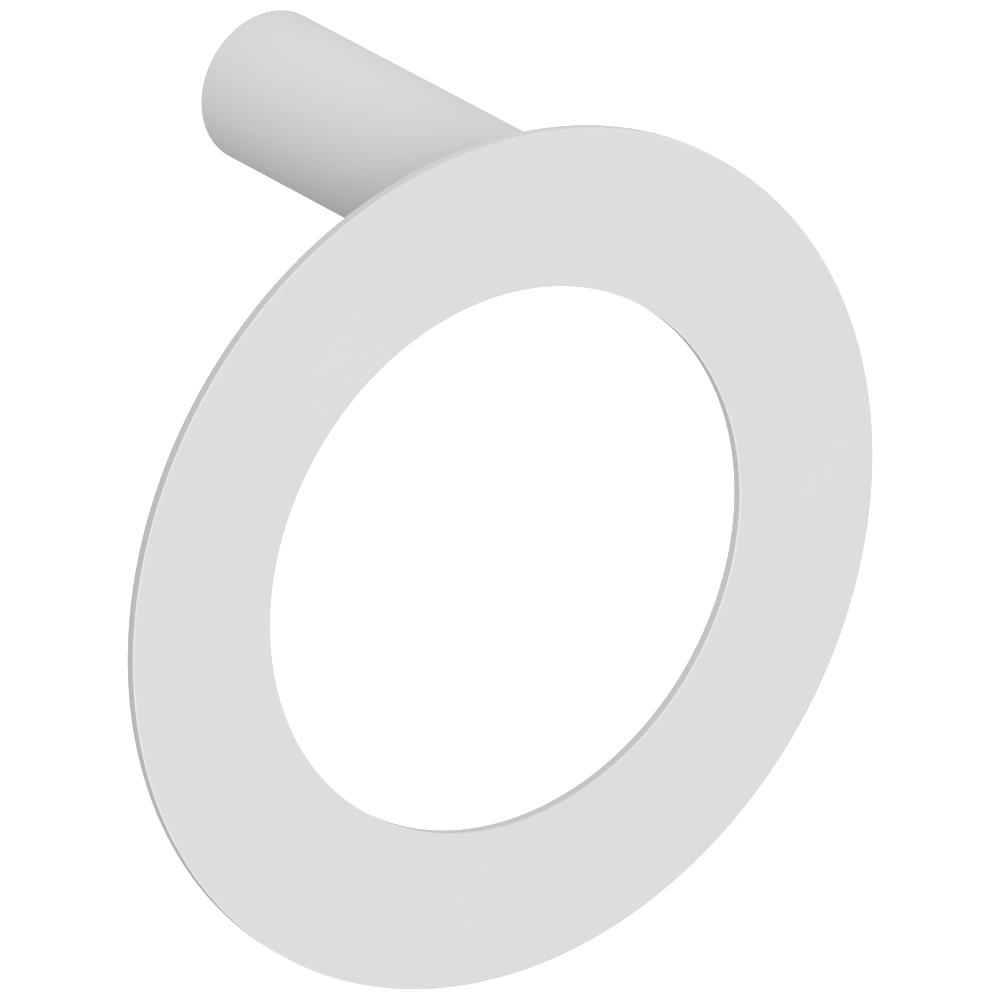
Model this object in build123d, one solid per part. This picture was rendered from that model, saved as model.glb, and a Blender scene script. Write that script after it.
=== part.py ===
from build123d import *
import os
from math import cos, pi, radians, tan

# A wall-mounted towel ring: a flat round plate with a large round hole, held off the wall by a
# straight round post. Two studs on the back of the plate pass through the end wall of the post
# and are nutted up inside it, so the face of the plate stays unbroken. The open end of the post
# slides over a round bracket that is screwed to the wall, and one grub screw from below locks it.
#
# All sizes are in millimetres. +Z is up and +Y points into the wall. The origin is where the
# axis of the post meets the wall, so the whole ring stands on the -Y side.

# Ring plate
ring_diameter = 200.0
band_width = 36.65
plate_thickness = 2.5
plate_edge_chamfer = 0.3

# Post, turned and bored from bar, closed at the plate
post_diameter = 35.3
post_length = 89.2
post_wall = 2.5
post_end_wall = 4.0
post_edge_chamfer = 0.3
post_mouth_chamfer = 0.5
post_above_ring_edge = 0.15

# Studs welded to the back of the plate, with their washers and nuts
stud_diameter = 4.0
stud_past_nut = 2.0
stud_end_chamfer = 0.5
stud_flange_diameter = 5.5
stud_flange_thickness = 0.8
washer_diameter = 9.0
washer_thickness = 0.8
nut_across_flats = 7.0
nut_height = 3.2
nut_corner_angle = 30.0
nut_hole_chamfer = 0.4

# Bracket on the wall, a shallow cup whose rim fits inside the post
bracket_height = 12.0
bracket_base = 4.0
bracket_rim = 3.5
bracket_chamfer = 0.5
screw_hole_diameter = 4.5
screw_head_diameter = 8.4
screw_head_angle = 90.0

# Grub screw under the post, near the wall
grub_diameter = 5.0
grub_from_wall = 6.0
grub_sunk_in = 0.4
grub_seat_depth = 1.7
grub_tip_diameter = 1.5
grub_tip_angle = 90.0
grub_end_chamfer = 0.4
grub_key_across_flats = 2.5
grub_key_depth = 1.8
grub_hole_chamfer = 0.3

# Clearances
bracket_slide_clearance = 0.2
thread_clearance = 0.05
seat_clearance = 0.05
stud_flange_clearance = 0.25
washer_hole_clearance = 0.15
washer_to_bore = 1.5
screw_head_to_rim = 0.25
cut_margin = 1.0

# Radii and places that follow from the sizes above
ring_radius = ring_diameter / 2
hole_radius = ring_radius - band_width
post_radius = post_diameter / 2
bore_radius = post_radius - post_wall
ring_drop = ring_radius - post_radius + post_above_ring_edge

plate_back = -post_length
plate_front = plate_back - plate_thickness
end_wall_inside = plate_back + post_end_wall
washer_back = end_wall_inside + washer_thickness
nut_back = washer_back + nut_height
stud_tip = nut_back + stud_past_nut
stud_spacing = 2 * (bore_radius - washer_to_bore - washer_diameter / 2)

bracket_radius = bore_radius - bracket_slide_clearance
cup_radius = bracket_radius - bracket_rim
screw_spacing = 2 * (cup_radius - screw_head_to_rim - screw_head_diameter / 2)

grub_radius = grub_diameter / 2 - thread_clearance
grub_head = post_radius - grub_sunk_in
grub_tip = bracket_radius - grub_seat_depth


def turned(section):
    """The solid that a section in (radius, y) sweeps as it turns once about the Y axis."""
    return revolve(section, Axis.Y)


def section_of(*points):
    """The flat face inside a closed outline of (radius, y) points."""
    return make_face(Polyline(*points, close=True))


def corner(section, radius, y):
    """The corner of a section that lies nearest to (radius, y)."""
    return section.vertices().sort_by_distance((radius, y, 0))[0]


def pair(piece, spacing):
    """Two copies of a piece on the Y axis, side by side and this far apart along X."""
    return Compound([Pos(side * spacing / 2, 0, 0) * piece for side in (-1, 1)])


def hexagon_along(plane, across_flats, length):
    """A hexagon bar that starts at the plane and runs this far along its normal."""
    return extrude(plane * RegularPolygon(across_flats / 2, 6, major_radius=False), length)


def make_ring_plate():
    """The flat ring: its section, with all four corners lightly broken, turned about the ring's own axis."""
    middle = Pos((hole_radius + ring_radius) / 2, (plate_front + plate_back) / 2)
    section = middle * Rectangle(band_width, plate_thickness)
    section = chamfer(section.vertices(), plate_edge_chamfer)
    return Pos(0, 0, -ring_drop) * turned(section)


def make_post():
    """The post: a cup as long as the ring stands off the wall, with stud holes in its end wall and a grub hole."""
    section = section_of(
        (0, plate_back),
        (post_radius, plate_back),
        (post_radius, 0),
        (bore_radius, 0),
        (bore_radius, end_wall_inside),
        (0, end_wall_inside),
    )
    section = chamfer(corner(section, post_radius, 0), post_edge_chamfer)
    section = chamfer(corner(section, bore_radius, 0), post_mouth_chamfer)
    return turned(section) - make_stud_holes() - make_grub_hole()


def make_stud_holes():
    """The space for both studs in the post's end wall, wide enough for the flanges they are welded by."""
    flange_hole_radius = stud_flange_diameter / 2 + stud_flange_clearance
    hole = turned(
        section_of(
            (0, plate_back - cut_margin),
            (flange_hole_radius, plate_back - cut_margin),
            (flange_hole_radius, end_wall_inside + cut_margin),
            (0, end_wall_inside + cut_margin),
        )
    )
    return pair(hole, stud_spacing)


def make_grub_hole():
    """The threaded hole through the underside of the post, with its rim broken at the outside."""
    hole = Cylinder(grub_diameter / 2, post_radius + cut_margin, align=(Align.CENTER, Align.CENTER, Align.MAX))
    rim_reach = grub_hole_chamfer + cut_margin
    rim = Cone(
        grub_diameter / 2 + rim_reach,
        grub_diameter / 2,
        rim_reach,
        align=(Align.CENTER, Align.CENTER, Align.MIN),
    )
    return Pos(0, -grub_from_wall, 0) * (hole + Pos(0, 0, -post_radius - cut_margin) * rim)


def make_weld_studs():
    """Two threaded studs, each on the thin flange by which it is welded to the back of the plate."""
    section = section_of(
        (0, plate_back),
        (stud_flange_diameter / 2, plate_back),
        (stud_flange_diameter / 2, plate_back + stud_flange_thickness),
        (stud_diameter / 2, plate_back + stud_flange_thickness),
        (stud_diameter / 2, stud_tip),
        (0, stud_tip),
    )
    section = chamfer(corner(section, stud_diameter / 2, stud_tip), stud_end_chamfer)
    return pair(turned(section), stud_spacing)


def make_washers():
    """A flat washer on each stud, against the inside of the post's end wall."""
    inner_radius = stud_diameter / 2 + washer_hole_clearance
    section = section_of(
        (inner_radius, end_wall_inside),
        (washer_diameter / 2, end_wall_inside),
        (washer_diameter / 2, washer_back),
        (inner_radius, washer_back),
    )
    return pair(turned(section), stud_spacing)


def make_nuts():
    """A hexagon nut on each stud: the bar's corners are turned off at both ends and the thread's mouths opened."""
    flat_radius = nut_across_flats / 2
    corner_radius = flat_radius / cos(pi / 6)
    corner_drop = (corner_radius - flat_radius) * tan(radians(nut_corner_angle))
    thread_radius = stud_diameter / 2 + thread_clearance
    mouth_radius = thread_radius + nut_hole_chamfer
    blank = section_of(
        (thread_radius, washer_back + nut_hole_chamfer),
        (mouth_radius, washer_back),
        (flat_radius, washer_back),
        (corner_radius, washer_back + corner_drop),
        (corner_radius, nut_back - corner_drop),
        (flat_radius, nut_back),
        (mouth_radius, nut_back),
        (thread_radius, nut_back - nut_hole_chamfer),
    )
    start = Plane(origin=(0, washer_back, 0), z_dir=(0, 1, 0))
    bar = hexagon_along(start, nut_across_flats, nut_height)
    return pair(turned(blank) & bar, stud_spacing)


def make_wall_bracket():
    """The bracket: a turned cup whose base takes two countersunk screws and whose rim has the grub screw's seat."""
    section = section_of(
        (0, 0),
        (bracket_radius, 0),
        (bracket_radius, -bracket_height),
        (cup_radius, -bracket_height),
        (cup_radius, -bracket_base),
        (0, -bracket_base),
    )
    for radius, y in ((bracket_radius, 0), (bracket_radius, -bracket_height), (cup_radius, -bracket_height)):
        section = chamfer(corner(section, radius, y), bracket_chamfer)
    return turned(section) - make_screw_holes() - make_grub_seat()


def make_screw_holes():
    """The space for both wall screws and their countersunk heads in the base of the bracket."""
    head_depth = (screw_head_diameter - screw_hole_diameter) / 2 / tan(radians(screw_head_angle / 2))
    hole = turned(
        section_of(
            (0, cut_margin),
            (screw_hole_diameter / 2, cut_margin),
            (screw_hole_diameter / 2, head_depth - bracket_base),
            (screw_head_diameter / 2, -bracket_base),
            (screw_head_diameter / 2, -bracket_base - cut_margin),
            (0, -bracket_base - cut_margin),
        )
    )
    return pair(hole, screw_spacing)


def make_grub_seat():
    """The conical pocket in the bracket's rim, the grub screw's point made a little deeper and carried outwards."""
    reach = grub_seat_depth + seat_clearance + cut_margin
    seat = Cone(
        grub_tip_diameter / 2 + reach * tan(radians(grub_tip_angle / 2)),
        grub_tip_diameter / 2,
        reach,
        align=(Align.CENTER, Align.CENTER, Align.MAX),
    )
    return Pos(0, -grub_from_wall, seat_clearance - grub_tip) * seat


def make_grub_screw():
    """The grub screw, point up: a pin with a cone point in the bracket's seat and a hexagon socket below."""
    point_height = (grub_radius - grub_tip_diameter / 2) / tan(radians(grub_tip_angle / 2))
    outline = Polyline(
        (0, -grub_head),
        (grub_radius - grub_end_chamfer, -grub_head),
        (grub_radius, grub_end_chamfer - grub_head),
        (grub_radius, -grub_tip - point_height),
        (grub_tip_diameter / 2, -grub_tip),
        (0, -grub_tip),
        close=True,
    )
    pin = revolve(Plane.XZ * make_face(outline), Axis.Z)
    socket = hexagon_along(Plane.XY.offset(-grub_head), grub_key_across_flats, grub_key_depth)
    return Pos(0, -grub_from_wall, 0) * (pin - socket)


def main():
    """Makes every piece and writes each one to its own file."""
    pieces = {
        "ring_plate": make_ring_plate(),
        "post": make_post(),
        "weld_studs": make_weld_studs(),
        "washers": make_washers(),
        "nuts": make_nuts(),
        "wall_bracket": make_wall_bracket(),
        "grub_screw": make_grub_screw(),
    }
    os.makedirs("parts", exist_ok=True)
    for name, shape in pieces.items():
        export_step(shape, f"parts/{name}.step")


main()
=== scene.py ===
# %% [markdown]
# # A towel ring for a bathroom wall
#
# This lesson dresses a finished CAD model in Blender. The object is a towel ring: a flat steel
# ring that faces the room, on a round post that stands out from the wall. Both are powder coated
# in one light neutral grey. Behind them, out of sight, are two studs with washers and nuts, a
# round bracket that stays on the wall, and a grub screw that locks the post on the bracket.
#
# Lengths are in metres. +Z is up and +Y points into the wall. The origin is where the axis of the
# post meets the wall, so the whole object lies on the -Y side of it.

# %% Load the CAD frame
import math

import bmesh
import bpy
import numpy as np
from mathutils import Matrix, Vector


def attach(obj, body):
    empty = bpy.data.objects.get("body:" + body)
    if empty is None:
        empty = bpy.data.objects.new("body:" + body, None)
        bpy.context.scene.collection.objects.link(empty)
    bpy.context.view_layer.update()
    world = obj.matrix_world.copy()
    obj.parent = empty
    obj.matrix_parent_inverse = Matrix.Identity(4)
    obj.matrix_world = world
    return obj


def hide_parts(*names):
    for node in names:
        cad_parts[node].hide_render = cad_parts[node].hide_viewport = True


MM = 0.001

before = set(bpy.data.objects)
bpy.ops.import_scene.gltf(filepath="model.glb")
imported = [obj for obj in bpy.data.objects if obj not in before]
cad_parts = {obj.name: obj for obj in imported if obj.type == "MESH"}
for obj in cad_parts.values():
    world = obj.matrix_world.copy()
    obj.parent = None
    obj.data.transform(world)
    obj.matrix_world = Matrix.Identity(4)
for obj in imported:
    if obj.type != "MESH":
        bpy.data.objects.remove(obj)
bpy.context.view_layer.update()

# %% [markdown]
# ## Sizes are read from the frame
#
# The CAD pieces already hold the sizes that the new surfaces need, so these are read from their
# corner points. A hole's radius, for example, is the smallest distance of any of the plate's
# points from the middle of the hole. If the CAD model changes, the dressed model follows it. Only
# what the CAD model leaves out, such as a round edge or a screw thread, gets its size here.

# %% Read the ring and the post
def cad_points(node):
    """All corner points of a CAD node, one row each."""
    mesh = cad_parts[node].data
    flat = np.empty(3 * len(mesh.vertices), np.float32)
    mesh.vertices.foreach_get("co", flat)
    return flat.reshape(-1, 3).astype(float)


plate = cad_points("ring_plate")
plate_front, plate_back = plate[:, 1].min(), plate[:, 1].max()
ring_radius = plate[:, 0].max()
ring_height = (plate[:, 2].min() + plate[:, 2].max()) / 2
hole_radius = np.hypot(plate[:, 0], plate[:, 2] - ring_height).min()

post = cad_points("post")
post_radius = post[:, 0].max()
end_wall_inside = cad_points("washers")[:, 1].min()
bore_radius = np.hypot(post[:, 0], post[:, 2])[post[:, 1] > end_wall_inside / 2].min()

print(f"ring: radius {ring_radius / MM:.2f}, hole {hole_radius / MM:.2f} mm")
print(f"ring: its middle at z {ring_height / MM:.2f} mm")
print(f"post: radius {post_radius / MM:.2f}, bore {bore_radius / MM:.2f} mm")

# %% [markdown]
# ## The camera comes first
#
# The photo was taken from far away with a very long lens: the near and the far side of the ring
# are almost the same size. The camera looks from the front left, 23 degrees above level. Its
# three axes are worked out from those two angles, and its place from the distance and from where
# the middle of the ring's face falls in the picture.

# %% Camera
PICTURE_PIXELS = 1000
SENSOR = 0.036
AZIMUTH = math.radians(-35.567)
ELEVATION = math.radians(23.014)
DISTANCE = 5.358
PIXELS_PER_METRE = 4550.6
RING_CENTRE_PIXEL = (507.09, 561.03)

to_right = Vector((math.cos(AZIMUTH), math.sin(AZIMUTH), 0))
level_back = Vector((math.sin(AZIMUTH), -math.cos(AZIMUTH), 0))
to_camera = level_back * math.cos(ELEVATION) + Vector((0, 0, math.sin(ELEVATION)))
to_top = to_camera.cross(to_right)

beside = (RING_CENTRE_PIXEL[0] - PICTURE_PIXELS / 2) / PIXELS_PER_METRE
below = (RING_CENTRE_PIXEL[1] - PICTURE_PIXELS / 2) / PIXELS_PER_METRE
face_centre = Vector((0, plate_front, ring_height))
eye = face_centre + to_camera * DISTANCE - to_right * beside + to_top * below

lens = bpy.data.cameras.new("camera")
lens.sensor_width = SENSOR / MM
lens.lens = PIXELS_PER_METRE * DISTANCE / PICTURE_PIXELS * SENSOR / MM
lens.clip_start = 0.1
lens.clip_end = 100
camera = bpy.data.objects.new("camera", lens)
bpy.context.scene.collection.objects.link(camera)
camera.matrix_world = Matrix.Translation(eye) @ Matrix((to_right, to_top, to_camera)).transposed().to_4x4()
bpy.context.scene.camera = camera
print(f"camera: {lens.lens:.0f} mm lens, {DISTANCE} m from the ring")

# %% [markdown]
# ## A grid of points becomes a mesh
#
# Every piece here is turned on a lathe or cut from sheet, so one helper builds them all: it takes
# a grid of points, already worked out as one array, and joins each point to its neighbours with
# quads. `foreach_set` hands whole arrays to Blender at once, which is far quicker than a loop over
# the points. Where a row of the grid shrinks to a point on the axis, merging what lies together
# turns its quads into a neat fan of triangles.

# %% Helper: mesh from grids
TOUCHING = 1e-7


def grid_quads(around, along, first, closed):
    """The corner numbers of the quads of one grid. The quad at (i, j) joins (i, j), (i, j+1),
    (i+1, j+1) and (i+1, j). Rows close on themselves around, and along too when closed is true."""
    here = first + np.arange(around * along).reshape(around, along)
    next_along = np.roll(here, -1, axis=1)
    next_around = np.roll(here, -1, axis=0)
    next_both = np.roll(next_along, -1, axis=0)
    quads = np.stack([here, next_along, next_both, next_around], axis=-1)
    return (quads if closed else quads[:, :-1]).reshape(-1, 4)


def signed_volume(mesh):
    """The volume inside a closed mesh: a sixth of the triple product of each triangle's corners,
    added up. It is negative when the faces point inwards."""
    mesh.calc_loop_triangles()
    corners = np.empty(3 * len(mesh.loop_triangles), np.int32)
    mesh.loop_triangles.foreach_get("vertices", corners)
    points = np.empty(3 * len(mesh.vertices), np.float32)
    mesh.vertices.foreach_get("co", points)
    a, b, c = points.reshape(-1, 3).astype(float)[corners.reshape(-1, 3)].transpose(1, 0, 2)
    return (a * np.cross(b, c)).sum() / 6


def merge_touching(mesh):
    """Joins points that lie in the same place. A face that shrinks to nothing by this goes too."""
    work = bmesh.new()
    work.from_mesh(mesh)
    bmesh.ops.remove_doubles(work, verts=work.verts, dist=TOUCHING)
    work.to_mesh(mesh)
    work.free()


def grid_object(name, grids, closed=False):
    """One object from grids of points of shape (around, along, 3), its faces pointing outwards."""
    quads, first = [], 0
    for grid in grids:
        quads.append(grid_quads(*grid.shape[:2], first, closed))
        first += grid.shape[0] * grid.shape[1]
    quads = np.concatenate(quads)
    points = np.concatenate([grid.reshape(-1) for grid in grids])
    mesh = bpy.data.meshes.new(name)
    mesh.vertices.add(first)
    mesh.vertices.foreach_set("co", points.astype(np.float32))
    mesh.loops.add(quads.size)
    mesh.loops.foreach_set("vertex_index", quads.astype(np.int32).ravel())
    mesh.polygons.add(len(quads))
    mesh.polygons.foreach_set("loop_start", np.arange(0, quads.size, 4, dtype=np.int32))
    mesh.update(calc_edges=True)
    merge_touching(mesh)
    if signed_volume(mesh) < 0:
        mesh.flip_normals()
    piece = bpy.data.objects.new(name, mesh)
    bpy.context.scene.collection.objects.link(piece)
    return piece


def describe(name, mesh):
    """Prints how many points a mesh has and how much metal it holds."""
    print(f"{name}: {len(mesh.vertices)} points, {signed_volume(mesh) / MM**3:.0f} cubic mm of metal")


# %% [markdown]
# ## Edges with a true radius
#
# No real edge is perfectly sharp. The cut edges of the ring are broken with a small chamfer, and
# the powder flows over it as it melts, into a round of a few tenths of a millimetre. The photo
# shows it as a thin light line between the face and the edge, so the round has to be in the mesh.
# Each section is drawn as a path with corners, and every corner becomes an arc.

# %% Helper: a path with rounded corners, turned about an axis
ARC_POINTS = 9
HOLD = 0.06 * MM
CLEAR_SHARE = 0.25


def rounded_path(corners, radii, longest):
    """A path of (radius, along) points with an arc in place of each inner corner.

    An arc starts and ends where a circle of the given radius touches both sides, at radius / tan
    (half the corner's angle) from the corner, and its spokes turn evenly between the two. A point
    just beyond each end of the arc keeps the flat beside it flat when the mesh is shaded smooth.
    Longer runs are divided into steps of about the length called longest, and a dividing point
    that would lie within a small share of a step of another point is left out.
    """
    corners = np.asarray(corners, float)
    radii = np.asarray(radii, float)[:, None]
    middle = corners[1:-1]
    to_last, to_next = corners[:-2] - middle, corners[2:] - middle
    to_last /= np.linalg.norm(to_last, axis=1, keepdims=True)
    to_next /= np.linalg.norm(to_next, axis=1, keepdims=True)
    half = np.arccos((to_last * to_next).sum(1, keepdims=True)) / 2
    reach = radii / np.tan(half)
    inward = (to_last + to_next) / np.linalg.norm(to_last + to_next, axis=1, keepdims=True)
    centre = middle + inward * radii / np.sin(half)
    spoke_in, spoke_out = middle + to_last * reach - centre, middle + to_next * reach - centre
    sweep = (np.pi - 2 * half)[:, None]
    share = np.linspace(0, 1, ARC_POINTS)[None, :, None]
    spokes = np.sin((1 - share) * sweep) * spoke_in[:, None]
    spokes = spokes + np.sin(share * sweep) * spoke_out[:, None]
    arcs = centre[:, None] + spokes / np.sin(sweep)
    before, after = middle + to_last * (reach + HOLD), middle + to_next * (reach + HOLD)
    path = np.concatenate([before[:, None], arcs, after[:, None]], axis=1).reshape(-1, 2)
    path = np.concatenate([corners[:1], path, corners[-1:]])

    travelled = np.append(0, np.cumsum(np.linalg.norm(np.diff(path, axis=0), axis=1)))
    extra = np.arange(longest, travelled[-1], longest)
    extra = extra[np.abs(extra[:, None] - travelled).min(axis=1) > CLEAR_SHARE * longest]
    stops = np.sort(np.append(travelled, extra))
    return np.stack([np.interp(stops, travelled, column) for column in path.T], axis=1)


def turned(path, steps, x=0.0, z=0.0):
    """The grid of a path turned about a level axis along Y: a point (radius, y) of the path lies
    at x + radius sin(angle), y, z + radius cos(angle)."""
    angle = np.linspace(0, 2 * np.pi, steps, endpoint=False)[:, None]
    radius, y = path[:, 0], path[:, 1]
    return np.stack([x + radius * np.sin(angle), y + 0 * angle, z + radius * np.cos(angle)], axis=-1)


# %% [markdown]
# ## The ring plate
#
# The ring is one flat piece of sheet steel, so its section is a long thin rectangle with four
# rounded corners, turned about the middle of the ring. A circle has to look round when it fills
# the picture, so it gets 720 steps: each is then under a millimetre long.
#
# The path starts and ends in the middle of the front face. The last point is dropped, and the
# grid closes on itself in both directions, like a flattened doughnut. It has no pole and no seam.

# %% Ring plate
EDGE_ROUND = 0.35 * MM
RING_STEPS = 720
RING_RUN = 4 * MM

middle_of_band = (hole_radius + ring_radius) / 2
ring_path = rounded_path(
    [
        (middle_of_band, plate_front),
        (ring_radius, plate_front),
        (ring_radius, plate_back),
        (hole_radius, plate_back),
        (hole_radius, plate_front),
        (middle_of_band, plate_front),
    ],
    [EDGE_ROUND] * 4,
    longest=RING_RUN,
)[:-1]
ring = grid_object("ring_plate_coated", [turned(ring_path, RING_STEPS, z=ring_height)], closed=True)
ring.data.shade_smooth()
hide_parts("ring_plate")
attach(ring, "root")
describe("ring", ring.data)

# %% [markdown]
# ### Painted shade and highlight on the edges
#
# Shade and a highlight are painted into the colour of the sheet's edges. The cut edge is
# painted darker, as shade, most where it faces up and left. The rounds between the faces and the
# edge carry a painted highlight, weaker the more they face up.
#
# The mesh carries this with it: one number for each point, by what share its tone is painted
# lighter or darker than the face. It is worked out from where the point lies and which way it
# faces. The outer edge and the wall of the hole have three numbers each: the share of painted
# shade all round, the further share on the shaded side, and where that side is, in degrees from
# the right, upwards.

# %% Painted shade and highlight on the edge of the sheet
# Painted shade on the cut edges, and a painted highlight on the rounds beside them.
OUTER_EDGE_SHADE = (0.03, 0.19, 146.0)
HOLE_EDGE_SHADE = (0.05, 0.14, 112.0)
ROUND_HIGHLIGHT = 0.31
HIGHLIGHT_LESS_ON_TOP = 0.10
HIGHLIGHT_TOP_POWER = 8


def values_of(owner, kind, count):
    """The values that a mesh holds for its points, one row for each point."""
    values = np.empty(count * len(owner), np.float32)
    owner.foreach_get(kind, values)
    return values.reshape(-1, count).astype(float)


def carry_tone(mesh, tones):
    """Gives a mesh one number for each point, under the name that the coat's material asks for."""
    attribute = mesh.attributes.new("tone_shift", "FLOAT", "POINT")
    attribute.data.foreach_set("value", tones.astype(np.float32))
    print(f"tone shift: from {tones.min():+.2f} to {tones.max():+.2f}")


def edge_shade_and_highlight(points, normals):
    """By what share each point of the ring is painted lighter or darker than the face: painted
    shade on the cut edge, and a painted highlight on the rounds.

    The turn is the angle between the surface and the face: none on the face, a right angle on the
    cut edge. The painted shade on the cut edge grows with the square of the turn's sine: by a least
    share, and by more with the square of the cosine of the angle from the shaded side. The painted
    highlight on the rounds grows with the square of the sine of twice the turn, which is largest
    midway, and with the root of one less the upward part of the direction. A high power of that
    part takes the painted highlight away where a round faces straight up.
    """
    turn = np.arccos(np.clip(np.abs(normals[:, 1]), 0, 1))
    aim = np.arctan2(normals[:, 2], normals[:, 0])
    upward = np.sin(aim)
    outer = np.hypot(points[:, 0], points[:, 2] - ring_height) > middle_of_band
    least, more, shade_side = np.where(outer[:, None], OUTER_EDGE_SHADE, HOLE_EDGE_SHADE).T
    shade_facing = np.clip(np.cos(aim - np.radians(shade_side)), 0, 1) ** 2
    darker = (least + more * shade_facing) * np.sin(turn) ** 2
    highlight_share = ROUND_HIGHLIGHT * np.sqrt(1 - upward) - HIGHLIGHT_LESS_ON_TOP * np.clip(upward, 0, 1) ** HIGHLIGHT_TOP_POWER
    return (1 - darker) * (1 + highlight_share * np.sin(2 * turn) ** 2) - 1


# Painted shade and a painted highlight on the ring, carried as one number for each point.
ring_points = values_of(ring.data.vertices, "co", 3)
carry_tone(ring.data, edge_shade_and_highlight(ring_points, values_of(ring.data.vertex_normals, "vector", 3)))

# %% [markdown]
# ## The post
#
# The post is turned and bored from bar: a cup as long as the ring stands off the wall, closed at
# the plate and open at the wall. Its path runs from the axis, along the outside, round the open
# end and back down the bore to the axis. Both ends of the path are poles, and each corner on the
# way has a round of its own.
#
# The long sides are divided every 2 mm. The shape doesn't need that, but the holes that are cut
# next leave cleaner shading in small faces than in long ones.
#
# The photo shows no dark line where the post meets the round on the plate's back edge, as if the
# powder had filled the joint. So the end of the post reaches a little way into that round.

# %% Post
POST_STEPS = 288
POST_RUN = 2 * MM
POST_ROUNDS = [0.1 * MM, 0.3 * MM, 0.4 * MM, 0.5 * MM]
JOINT_FILL = 0.2 * MM

post_path = rounded_path(
    [
        (0, plate_back - JOINT_FILL),
        (post_radius, plate_back - JOINT_FILL),
        (post_radius, 0),
        (bore_radius, 0),
        (bore_radius, end_wall_inside),
        (0, end_wall_inside),
    ],
    POST_ROUNDS,
    longest=POST_RUN,
)
post_shell = grid_object("post_coated", [turned(post_path, POST_STEPS)])
print(f"post: {len(post_shell.data.vertices)} points before its holes")

# %% [markdown]
# ## Holes in the post
#
# Two holes in the end wall let the studs through, and one on the underside takes the grub screw.
# A hole in a curved wall is awkward to draw as a grid, and easy to cut: a closed cutter with the
# shape of the drill is taken away with a Boolean modifier. The cutter of the grub screw's hole
# flares at its mouth, which breaks the sharp rim that a drill leaves.
#
# The places come from the CAD points again. A point counts as lying on a level if it is within a
# hundredth of a millimetre of it.

# %% Places of the studs and the grub screw
SLACK = 0.01 * MM

studs = cad_points("weld_studs")
right_stud = studs[studs[:, 0] > 0]
stud_x = (right_stud[:, 0].min() + right_stud[:, 0].max()) / 2
near_end = post[post[:, 1] < end_wall_inside + SLACK]
stud_hole_radius = np.hypot(near_end[:, 0] - stud_x, near_end[:, 2]).min()

grub = cad_points("grub_screw")
grub_y = (grub[:, 1].min() + grub[:, 1].max()) / 2
grub_radius = grub[:, 0].max()
grub_head, grub_tip = grub[:, 2].min(), grub[:, 2].max()
underside = post[(post[:, 2] < 0) & (np.abs(post[:, 1] - grub_y) < 2 * grub_radius)]
grub_hole_radius = np.hypot(underside[:, 0], underside[:, 1] - grub_y).min()
print(f"studs at x {stud_x / MM:.2f}, holes {stud_hole_radius / MM:.2f} mm")
print(f"grub screw at y {grub_y / MM:.2f}, hole {grub_hole_radius / MM:.2f} mm")

# %% Cut the holes
DRILL_STEPS = 96
DRILL_MARGIN = 1 * MM
GRUB_DRILL_REACH = 3 * MM
MOUTH_BREAK = 0.3 * MM


def upright(path, steps, y):
    """The grid of a path turned about a vertical axis: a point (radius, z) of the path lies at
    radius sin(angle), y + radius cos(angle), z."""
    grid = turned(path, steps)
    return np.stack([grid[..., 0], y + grid[..., 2], grid[..., 1]], axis=-1)


def cut(piece, cutter):
    """Takes the cutter's volume away from the piece, applies the result and removes the cutter."""
    modifier = piece.modifiers.new("cut", "BOOLEAN")
    modifier.operation = "DIFFERENCE"
    modifier.solver = "EXACT"
    modifier.object = cutter
    spent = [piece.data, cutter.data]
    finished = piece.evaluated_get(bpy.context.evaluated_depsgraph_get())
    piece.data = bpy.data.meshes.new_from_object(finished)
    piece.modifiers.clear()
    merge_touching(piece.data)
    bpy.data.objects.remove(cutter)
    for mesh in spent:
        bpy.data.meshes.remove(mesh)


drill_start, drill_end = plate_back - DRILL_MARGIN, end_wall_inside + DRILL_MARGIN
stud_drill = np.array(
    [(0, drill_start), (stud_hole_radius, drill_start), (stud_hole_radius, drill_end), (0, drill_end)]
)
drill_top, drill_bottom = GRUB_DRILL_REACH - bore_radius, -post_radius - DRILL_MARGIN
grub_drill = np.array(
    [
        (0, drill_top),
        (grub_hole_radius, drill_top),
        (grub_hole_radius, MOUTH_BREAK - post_radius),
        (grub_hole_radius + MOUTH_BREAK + DRILL_MARGIN, drill_bottom),
        (0, drill_bottom),
    ]
)
drills = [turned(stud_drill, DRILL_STEPS, x=side * stud_x) for side in (-1, 1)]
cut(post_shell, grid_object("drills", drills + [upright(grub_drill, DRILL_STEPS, grub_y)]))

# %% [markdown]
# ### Painted shade on the post
#
# The post gets painted shade too: its colour is a little darker close behind the plate, mostly on
# its upper left, and along the underside, and a trace darker on top beside the wall. Each of these
# places has its share, the side of the post that it lies on, and its reach along the post.

# %% Painted shade on the post
# Painted shade on the post: behind the plate, along the underside and beside the wall.
PLATE_SHADE, PLATE_SHADE_SIDE, PLATE_SHADE_REACH = 0.19, 52.0, 20 * MM
UNDER_SHADE, UNDER_SHADE_SIDE, UNDER_SHADE_REACH = 0.15, 150.0, 50 * MM
WALL_SHADE, WALL_SHADE_SIDE, WALL_SHADE_REACH = 0.05, 15.0, 12 * MM


def facing(points, side):
    """The cosine of the angle round the post between each point and a side, or 0 past a right
    angle. The side is given in degrees from straight up, towards the left."""
    angle = np.arctan2(-points[:, 0], points[:, 2])
    return np.clip(np.cos(angle - np.radians(side)), 0, 1)


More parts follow.
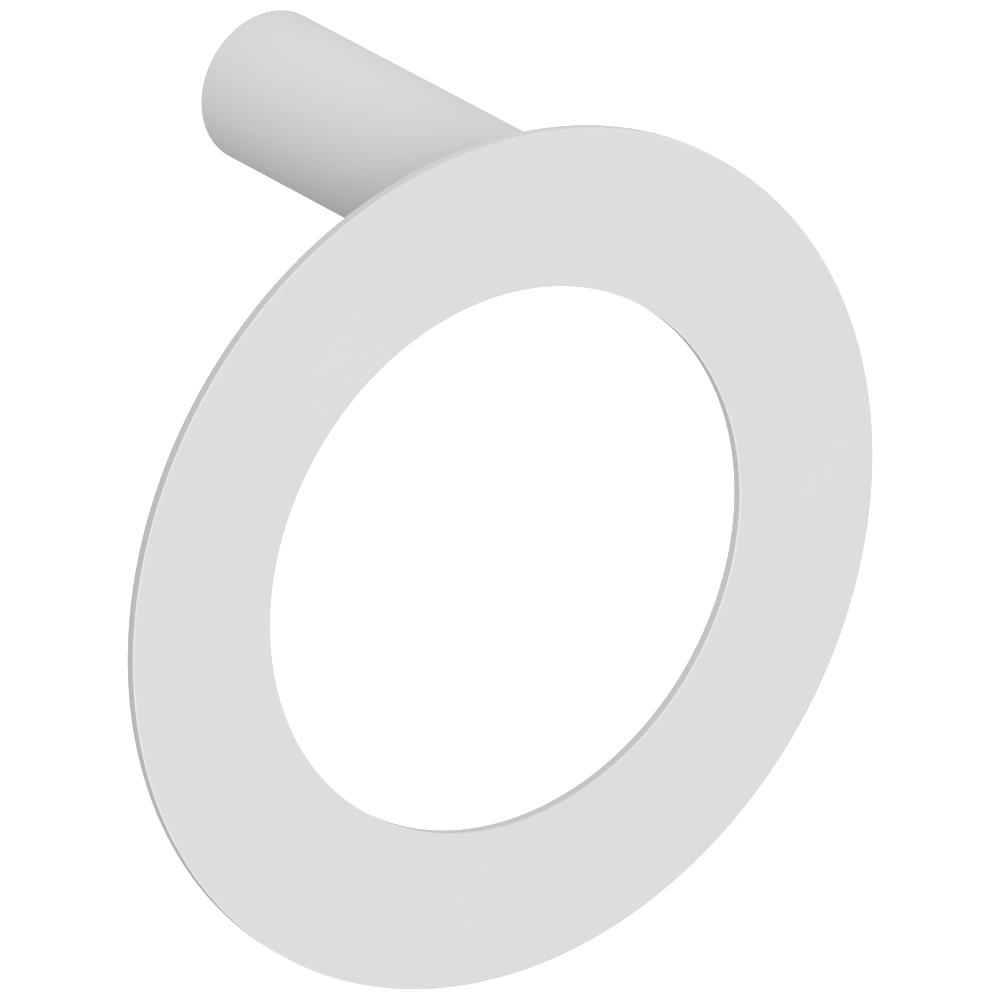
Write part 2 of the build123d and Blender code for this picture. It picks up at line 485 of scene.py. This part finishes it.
def post_painted_shade(points):
    """By what share each point of the post is painted darker than the face, as painted shade.

    Behind the plate and beside the wall the painted shade thins out by an even share for each
    millimetre, as an exponential. On the underside it falls along a bell curve from the plate. Round
    the post it follows the cosine from its side, squared on the underside and to the fourth power
    beside the wall, where it covers a narrower strip.
    """
    behind, from_wall = points[:, 1] - plate_back, -points[:, 1]
    behind_plate_shade = PLATE_SHADE * facing(points, PLATE_SHADE_SIDE) * np.exp(-behind / PLATE_SHADE_REACH)
    bell = np.exp(-((behind / UNDER_SHADE_REACH) ** 2))
    underside_shade = UNDER_SHADE * facing(points, UNDER_SHADE_SIDE) ** 2 * bell
    wall_end_shade = WALL_SHADE * facing(points, WALL_SHADE_SIDE) ** 4 * np.exp(-from_wall / WALL_SHADE_REACH)
    return -(behind_plate_shade + underside_shade + wall_end_shade)


# The post's painted shade, carried as one number for each point.
carry_tone(post_shell.data, post_painted_shade(values_of(post_shell.data.vertices, "co", 3)))

# %% Finish the post
CREASE = math.radians(35)

post_shell.data.shade_smooth()
post_shell.data.set_sharp_from_angle(angle=CREASE)
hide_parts("post")
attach(post_shell, "root")
describe("post", post_shell.data)

# %% [markdown]
# ## Screw threads
#
# The CAD model leaves the threads plain. A thread is easy to write as a function of two
# parameters: turn once round the screw, and the groove moves on by one pitch. So the radius at a
# point depends only on its height in pitches less its turn: it is full on the crest, falls along
# a straight flank and is smallest at the root. The crest, the two flanks together and the fading
# at each end of the thread are given as shares of a pitch. The groove fades out at the plain ends,
# so the surface stays closed and meets the chamfers cleanly.

# %% Helper: a screw thread on a grid
CREST = 0.12
FLANKS = 0.72
FADE = 1 / 3


def thread_groove(turns, along, pitch, start, end):
    """How deep the thread lies below its crest, from 0 to 1, for points at the given turns and
    heights: 0 on the crest, rising straight down the flank, 1 at the root, faded in after start
    and out before end."""
    phase = (along / pitch - turns) % 1
    flank = np.clip((1 - np.abs(2 * phase - 1) - CREST) / FLANKS, 0, 1)
    fade = np.clip(np.minimum(along - start, end - along) / (FADE * pitch), 0, 1)
    return flank * fade


# %% [markdown]
# ## The studs
#
# Two M4 studs are welded to the back of the plate by their flanges, so that its face stays
# unbroken. Each passes through the end wall of the post and carries a washer and a nut. Nobody
# sees them once the ring hangs, but someone who takes the post apart will.
#
# The corner points of a round edge lie all round it, and none need lie right at its side. So the
# radius of the shaft, and that of its tip, is the mean of their distances from the axis, which is
# steadier than the largest one.

# %% Sizes of the studs
stud_reach = np.hypot(right_stud[:, 0] - stud_x, right_stud[:, 2])
stud_tip = right_stud[:, 1].max()
flange_radius = right_stud[:, 0].max() - stud_x
flange_top = right_stud[stud_reach > flange_radius - SLACK, 1].max()
past_flange = right_stud[:, 1] > flange_top + SLACK
on_shaft = past_flange & (stud_reach > stud_reach[past_flange].max() - SLACK)
on_tip = right_stud[:, 1] > stud_tip - SLACK
stud_radius = stud_reach[on_shaft].mean()
stud_chamfer = stud_radius - stud_reach[on_tip].mean()
print(f"stud: radius {stud_radius / MM:.2f}, chamfer {stud_chamfer / MM:.2f} mm")
print(f"flange: radius {flange_radius / MM:.2f}, {(flange_top - plate_back) / MM:.2f} mm thick")

# %% Weld studs
STUD_PITCH = 0.7 * MM
STUD_GROOVE = 0.38 * MM
STUD_STEPS = 64
STUD_RUN = 0.07 * MM
STUD_ROUNDS = [0.05 * MM, 0.1 * MM, 0.15 * MM, 0.05 * MM, 0.05 * MM]
PLAIN_NECK = 0.6 * MM
PLAIN_TIP = 0.2 * MM

stud_path = rounded_path(
    [
        (0, plate_back),
        (flange_radius, plate_back),
        (flange_radius, flange_top),
        (stud_radius, flange_top),
        (stud_radius, stud_tip - stud_chamfer),
        (stud_radius - stud_chamfer, stud_tip),
        (0, stud_tip),
    ],
    STUD_ROUNDS,
    longest=STUD_RUN,
)
stud_turns = np.arange(STUD_STEPS)[:, None] / STUD_STEPS
thread_start, thread_end = flange_top + PLAIN_NECK, stud_tip - PLAIN_TIP
groove = thread_groove(stud_turns, stud_path[:, 1], STUD_PITCH, thread_start, thread_end)
stud_grid = turned(stud_path, STUD_STEPS)
shrink = 1 - STUD_GROOVE * groove / np.maximum(stud_path[:, 0], stud_radius / 2)
stud_grid[..., 0] *= shrink
stud_grid[..., 2] *= shrink
stud_pair = grid_object("weld_studs_threaded", [stud_grid + (side * stud_x, 0, 0) for side in (-1, 1)])
stud_pair.data.shade_smooth()
stud_pair.data.set_sharp_from_angle(angle=CREASE)
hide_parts("weld_studs")
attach(stud_pair, "root")
describe("studs", stud_pair.data)

# %% [markdown]
# ## The grub screw
#
# A grub screw has no head: a hexagon socket is sunk in one end and the other is a cone point. Its
# path starts in the middle of the socket's floor, runs out to the socket's wall, down that wall
# to the mouth, over the chamfer, along the thread and up the cone to the point.
#
# The socket is a hexagon, so there the radius also depends on the angle. The distance from the
# middle of a hexagon to its side is half the size across flats, divided by the cosine of the
# angle from the middle of that side. On the flat end around the mouth, the hexagon fades evenly
# into the circle of the rim, so no point overtakes the next.

# %% Sizes of the grub screw
grub_reach = np.hypot(grub[:, 0], grub[:, 1] - grub_y)
at_head = grub[:, 2] < grub_head + SLACK
at_tip = grub[:, 2] > grub_tip - SLACK
key_corner = grub_reach[at_head].min()
key_flat = key_corner * math.cos(math.pi / 6)
key_floor = grub[~at_head & (grub_reach < key_corner + SLACK), 2].min()
on_rim = at_head & (grub_reach > key_corner + SLACK)
grub_chamfer = grub_radius - grub_reach[on_rim].mean()
tip_radius = grub_reach[at_tip].max()
cone_start = grub_tip - (grub_radius - tip_radius)
print(f"grub screw: key {2 * key_flat / MM:.2f} across flats, {(key_floor - grub_head) / MM:.2f} mm deep")

# %% Grub screw
GRUB_PITCH = 0.8 * MM
GRUB_GROOVE = 0.42 * MM
GRUB_STEPS = 96
GRUB_RUN = 0.08 * MM
GRUB_ROUNDS = [0.05 * MM, 0.08 * MM, 0.05 * MM, 0.05 * MM, 0.05 * MM, 0.1 * MM]
PLAIN_HEAD = 0.1 * MM
THREAD_ON_CONE = 0.3 * MM
HEXAGON_KEEP = 0.15 * MM
RIM_KEEP = 0.1 * MM

grub_path = rounded_path(
    [
        (0, key_floor),
        (key_flat, key_floor),
        (key_flat, grub_head),
        (grub_radius - grub_chamfer, grub_head),
        (grub_radius, grub_head + grub_chamfer),
        (grub_radius, cone_start),
        (tip_radius, grub_tip),
        (0, grub_tip),
    ],
    GRUB_ROUNDS,
    longest=GRUB_RUN,
)
reach, height = grub_path.T
grub_turns = np.arange(GRUB_STEPS)[:, None] / GRUB_STEPS
from_flat = (grub_turns * 2 * np.pi) % (np.pi / 3) - np.pi / 6
mouth, rim = key_flat + HEXAGON_KEEP, grub_radius - grub_chamfer - RIM_KEEP
in_socket = np.arange(len(reach)) < np.argmax(reach > rim)
fading = np.clip((rim - reach) / (rim - mouth), 0, 1)
hexagon = 1 + (1 / np.cos(from_flat) - 1) * fading * in_socket
thread_start, thread_end = grub_head + PLAIN_HEAD, cone_start + THREAD_ON_CONE
groove = thread_groove(grub_turns, height, GRUB_PITCH, thread_start, thread_end)
shrink = hexagon * (1 - GRUB_GROOVE * groove * ~in_socket / np.maximum(reach, grub_radius / 2))
grub_grid = upright(grub_path, GRUB_STEPS, 0.0)
grub_grid[..., 0] *= shrink
grub_grid[..., 1] = grub_grid[..., 1] * shrink + grub_y
grub_screw = grid_object("grub_screw_threaded", [grub_grid])
grub_screw.data.shade_smooth()
grub_screw.data.set_sharp_from_angle(angle=CREASE)
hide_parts("grub_screw")
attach(grub_screw, "root")
describe("grub screw", grub_screw.data)

# %% [markdown]
# ## Powder coat
#
# The ring and the post have the same finish: a matt, light grey powder coat. From a step away it
# is one even tone. Close up it is not: the melted powder leaves a soft orange peel, one or two
# millimetres from crest to crest and less than a hundredth of a millimetre deep, with a much finer
# grain on top.
#
# Both are noise patterns on Object coordinates, so they are fixed to the metal and have the same
# size on every piece. Each goes into a Bump node whose distance is in real metres, and the second
# takes the first one's result. The tone drifts by less than a percent, which is as much as an even
# coat does. At the edges and on the post it also follows the numbers that the two meshes carry,
# which paint shade and a highlight into the colour.

# %% Helper: nodes
NOISE_LOW, NOISE_HIGH = 0.3, 0.7


def new_material(name):
    """A material with its Principled shader, ready for more nodes."""
    material = bpy.data.materials.new(name)
    material.use_nodes = True
    return material, material.node_tree.nodes["Principled BSDF"]


def add_node(owner, kind, inputs=(), **settings):
    """A new node with its settings made and its inputs set: a number is typed in, a socket is linked."""
    node = owner.node_tree.nodes.new(kind)
    for setting, value in settings.items():
        setattr(node, setting, value)
    for socket, value in dict(inputs).items():
        if isinstance(value, bpy.types.NodeSocket):
            owner.node_tree.links.new(value, node.inputs[socket])
        else:
            node.inputs[socket].default_value = value
    return node


def noise_on(owner, place, grain, detail=2.0):
    """Noise on a piece's own coordinates, whose grain is about this long in metres."""
    noise = add_node(owner, "ShaderNodeTexNoise", {"Vector": place, "Scale": 1 / grain, "Detail": detail})
    return noise.outputs["Fac"]


def spread(owner, value, low, high):
    """Maps a noise value, which mostly lies between 0.3 and 0.7, to the range from low to high."""
    inputs = {"Value": value, "From Min": NOISE_LOW, "From Max": NOISE_HIGH, "To Min": low, "To Max": high}
    return add_node(owner, "ShaderNodeMapRange", inputs).outputs["Result"]


def maths(owner, operation, first, second=0.0):
    """The result of one sum on two numbers or sockets."""
    return add_node(owner, "ShaderNodeMath", {0: first, 1: second}, operation=operation).outputs[0]


def between(owner, share, first, second):
    """A colour that goes from the first to the second as share goes from 0 to 1. A Mix node keeps
    the share at input 0, its two colours at inputs 6 and 7, and their mix at output 2."""
    return add_node(owner, "ShaderNodeMix", {0: share, 6: first, 7: second}, data_type="RGBA").outputs[2]


def bump(owner, height, depth, under=None):
    """The shading direction over a relief of this depth in metres, on top of an earlier bump if
    one is given."""
    inputs = {"Height": height, "Distance": depth}
    if under is not None:
        inputs["Normal"] = under
    return add_node(owner, "ShaderNodeBump", inputs).outputs["Normal"]


def put_on(material, pieces):
    """Gives this material, and no other, to each of the pieces."""
    for piece in pieces:
        piece.data.materials.clear()
        piece.data.materials.append(material)


# %% Powder coat
COAT_TONE, TONE_DRIFT, TONE_GRAIN = 0.62, 0.002, 30 * MM
COAT_ROUGHNESS, ROUGHNESS_GRAIN = (0.56, 0.62), 4 * MM
PEEL_DEPTH, PEEL_GRAIN = 0.008 * MM, 1.6 * MM
FINE_DEPTH, FINE_GRAIN = 0.0012 * MM, 0.22 * MM

coat, coat_shader = new_material("powder_coat_grey")
link_coat = coat.node_tree.links.new
place = add_node(coat, "ShaderNodeTexCoord").outputs["Object"]
# The tone_shift number paints shade and a highlight into the coat's colour.
shift = add_node(coat, "ShaderNodeAttribute", attribute_name="tone_shift").outputs["Fac"]

drift = noise_on(coat, place, TONE_GRAIN)
tone = spread(coat, drift, COAT_TONE - TONE_DRIFT, COAT_TONE + TONE_DRIFT)
tone = maths(coat, "MULTIPLY", tone, maths(coat, "ADD", 1.0, shift))
grey = add_node(coat, "ShaderNodeCombineColor", {"Red": tone, "Green": tone, "Blue": tone})
link_coat(grey.outputs["Color"], coat_shader.inputs["Base Color"])
roughness = spread(coat, noise_on(coat, place, ROUGHNESS_GRAIN), *COAT_ROUGHNESS)
link_coat(roughness, coat_shader.inputs["Roughness"])

peel = bump(coat, noise_on(coat, place, PEEL_GRAIN), PEEL_DEPTH)
fine = bump(coat, noise_on(coat, place, FINE_GRAIN), FINE_DEPTH, under=peel)
link_coat(fine, coat_shader.inputs["Normal"])
put_on(coat, [ring, post_shell])
print("powder coat on", ring.name, "and", post_shell.name)

# %% [markdown]
# ## Plated steel
#
# The studs, washers, nuts and the grub screw are bright zinc plated: a metal with a slightly
# blue tint, shinier in some patches than in others. A metal's colour goes into Base Color with
# Metallic at 1, and its patches into Roughness.

# %% Plated steel
ZINC_BLUE, ZINC_BRIGHT = (0.60, 0.62, 0.66, 1), (0.70, 0.71, 0.72, 1)
ZINC_ROUGHNESS = (0.26, 0.40)
PATCH_GRAIN, PATCH_DETAIL = 1.5 * MM, 4.0
PLATING_DEPTH, PLATING_GRAIN = 0.002 * MM, 0.12 * MM

zinc, zinc_shader = new_material("zinc_plated_steel")
link_zinc = zinc.node_tree.links.new
zinc_shader.inputs["Metallic"].default_value = 1.0
place = add_node(zinc, "ShaderNodeTexCoord").outputs["Object"]
patches = noise_on(zinc, place, PATCH_GRAIN, PATCH_DETAIL)
tint = between(zinc, spread(zinc, patches, 0.0, 1.0), ZINC_BLUE, ZINC_BRIGHT)
link_zinc(tint, zinc_shader.inputs["Base Color"])
link_zinc(spread(zinc, patches, *ZINC_ROUGHNESS), zinc_shader.inputs["Roughness"])
plating = bump(zinc, noise_on(zinc, place, PLATING_GRAIN), PLATING_DEPTH)
link_zinc(plating, zinc_shader.inputs["Normal"])
put_on(zinc, [stud_pair, grub_screw])
for node in ("washers", "nuts"):
    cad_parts[node].material_slots[0].material = zinc
print("plated steel on the studs, washers, nuts and grub screw")

# %% [markdown]
# ## The turned bracket
#
# The bracket is turned from steel bar, and a lathe leaves fine rings round its axis. They follow
# the distance from that axis on the flat ends and the height on the sides, so the sum of the two
# draws rings on both. A wave about a tenth of a millimetre long goes into the bump, and a slow
# noise keeps the rings from looking printed.

# %% Turned steel
TOOL_FEED, MARK_DEPTH = 0.12 * MM, 0.0015 * MM
WOBBLE, WOBBLE_GRAIN = 2.0, 3 * MM
STEEL_DARK, STEEL_LIGHT = (0.52, 0.52, 0.53, 1), (0.60, 0.60, 0.61, 1)
STEEL_ROUGHNESS = (0.30, 0.42)
STAIN_GRAIN, STAIN_DETAIL = 4 * MM, 3.0

steel, steel_shader = new_material("turned_steel")
link_steel = steel.node_tree.links.new
steel_shader.inputs["Metallic"].default_value = 1.0
place = add_node(steel, "ShaderNodeTexCoord").outputs["Object"]
axes = add_node(steel, "ShaderNodeSeparateXYZ", {"Vector": place}).outputs
across = add_node(steel, "ShaderNodeCombineXYZ", {"X": axes["X"], "Y": axes["Z"]}).outputs["Vector"]
from_axis = add_node(steel, "ShaderNodeVectorMath", {0: across}, operation="LENGTH").outputs["Value"]
travel = maths(steel, "ADD", from_axis, axes["Y"])
wave = maths(steel, "MULTIPLY", travel, 2 * math.pi / TOOL_FEED)
wobble = maths(steel, "MULTIPLY", noise_on(steel, place, WOBBLE_GRAIN), WOBBLE)
marks = maths(steel, "SINE", maths(steel, "ADD", wave, wobble))
link_steel(bump(steel, marks, MARK_DEPTH), steel_shader.inputs["Normal"])
stain = noise_on(steel, place, STAIN_GRAIN, STAIN_DETAIL)
tint = between(steel, spread(steel, stain, 0.0, 1.0), STEEL_DARK, STEEL_LIGHT)
link_steel(tint, steel_shader.inputs["Base Color"])
link_steel(spread(steel, stain, *STEEL_ROUGHNESS), steel_shader.inputs["Roughness"])
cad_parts["wall_bracket"].material_slots[0].material = steel
print("turned steel on the wall bracket")

# %% [markdown]
# ## Floor and light
#
# The photo shows the ring on plain white, lit so softly that nothing throws a shadow. A large
# white floor lies far below, deep enough for the camera to look at the ring from underneath. It
# glows white by itself, and it is kept out of the light's path so that it doesn't brighten the
# ring from below. It lies too far away to catch the ring's shadow.
#
# The light is the World itself: a dome that is brightest above the front left and fades evenly to
# the far side. On a matt surface such a dome gives a brightness that depends only on the
# direction the surface faces, which is how the photo looks: the face is the lightest, the post
# fades from its top to its underside. The camera doesn't see the dome but plain white.

# %% Floor
FLOOR_HEIGHT = -6.0
FLOOR_HALF = 60.0
FLOOR_PAINT = (0.9, 0.9, 0.9, 1)
FLOOR_GLOW = 0.6
WHITE = (1, 1, 1, 1)

sides = np.array([(-1, -1, 0), (1, -1, 0), (1, 1, 0), (-1, 1, 0)]) * FLOOR_HALF
floor_mesh = bpy.data.meshes.new("floor")
floor_mesh.from_pydata((sides + (0, 0, FLOOR_HEIGHT)).tolist(), [], [(0, 1, 2, 3)])
floor_white, floor_shader = new_material("floor_white")
floor_shader.inputs["Base Color"].default_value = FLOOR_PAINT
floor_shader.inputs["Emission Color"].default_value = WHITE
floor_shader.inputs["Emission Strength"].default_value = FLOOR_GLOW
floor_mesh.materials.append(floor_white)
floor = bpy.data.objects.new("floor", floor_mesh)
bpy.context.scene.collection.objects.link(floor)
floor.visible_diffuse = False
floor.visible_glossy = False
floor.visible_shadow = False

# %% Dome of light
LIGHT_FROM = Vector((-0.183, -0.733, 0.656)).normalized()
MEAN_LIGHT = 0.854
LIGHT_SLOPE = 0.606

world = bpy.data.worlds.new("studio")
world.use_nodes = True
bpy.context.scene.world = world
world.node_tree.nodes.clear()
direction = add_node(world, "ShaderNodeTexCoord").outputs["Generated"]
towards = add_node(world, "ShaderNodeVectorMath", {0: direction, 1: LIGHT_FROM}, operation="DOT_PRODUCT")
brightness = maths(world, "MULTIPLY", towards.outputs["Value"], LIGHT_SLOPE)
brightness = maths(world, "ADD", brightness, MEAN_LIGHT)
dome = add_node(world, "ShaderNodeBackground", {"Color": WHITE, "Strength": brightness})
paper = add_node(world, "ShaderNodeBackground", {"Color": WHITE, "Strength": 1.0})
seen = add_node(world, "ShaderNodeLightPath").outputs["Is Camera Ray"]
either = add_node(world, "ShaderNodeMixShader", {0: seen, 1: dome.outputs[0], 2: paper.outputs[0]})
add_node(world, "ShaderNodeOutputWorld", {"Surface": either.outputs[0]})
bpy.context.scene.view_settings.view_transform = "Standard"
print("dome: brightest towards", [round(part, 2) for part in LIGHT_FROM])
